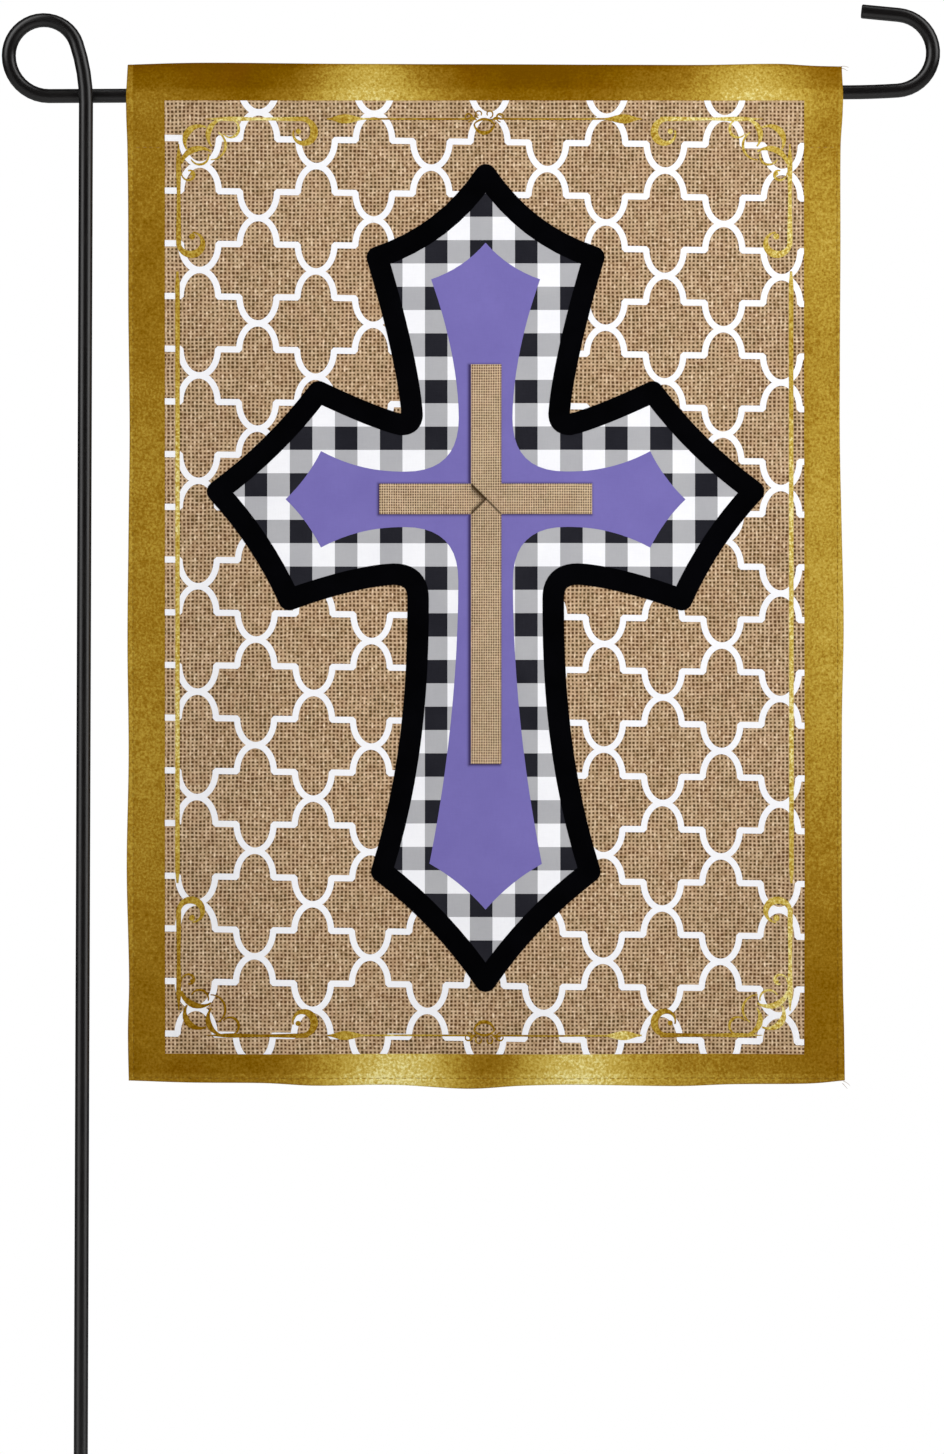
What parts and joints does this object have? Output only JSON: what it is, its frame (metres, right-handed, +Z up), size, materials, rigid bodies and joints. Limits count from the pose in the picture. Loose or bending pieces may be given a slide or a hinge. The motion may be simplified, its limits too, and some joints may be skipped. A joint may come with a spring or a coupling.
{
  "type": "garden flag on a pole stand",
  "caption": "Printed garden flag hung by its rod sleeve on the arm of a bent steel pole stand with a closed loop and an open hook.",
  "frame": {"origin": "middle of the flat cut end at the pole's foot", "axes": "+Z up the pole, +X along the arm towards the hook, and the flag's printed face looks towards -Y"},
  "size_m": [0.4203, 0.0175, 0.9136],
  "materials": {
    "black_coat": "satin black powder coat",
    "printed_cloth": "printed brushed polyester cloth"
  },
  "bodies": {
    "root": {"stand_rod": "black_coat", "flag_cloth": "printed_cloth"}
  },
  "joints": []
}
